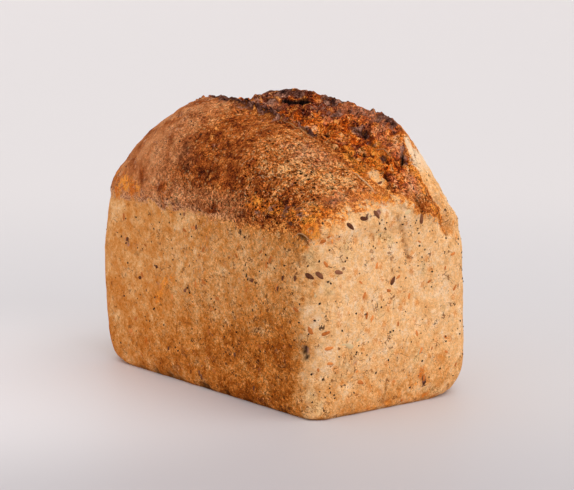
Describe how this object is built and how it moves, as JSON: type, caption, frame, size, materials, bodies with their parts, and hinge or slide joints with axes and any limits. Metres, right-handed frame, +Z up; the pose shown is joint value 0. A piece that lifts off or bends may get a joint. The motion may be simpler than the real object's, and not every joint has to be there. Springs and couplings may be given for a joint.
{
  "type": "seeded multigrain tin loaf",
  "caption": "Whole uncut tin loaf: pale seeded walls shaped by the tin, a dark domed crust torn open lengthways into a ragged ear, and a flat base to stand on.",
  "frame": {"origin": "on the flat base, under the middle of the loaf's box", "axes": "+X along the loaf, towards the end wall with the open folds; +Z up; -Y is the long side whose crown is unbroken, +Y the side of the torn ear"},
  "size_m": [0.1958, 0.112, 0.1526],
  "materials": {
    "crust": "dry matte baked crust, browned on the crown and pale tan on the walls",
    "flax_seed": "smooth brown seed coat with a soft sheen",
    "golden_flake": "matte toasted orange-brown grain",
    "poppy_seed": "matte blue-black seed",
    "kernel": "matte grey-green kernel baked into the crumb"
  },
  "bodies": {
    "root": {"loaf": "crust"}
  },
  "joints": []
}
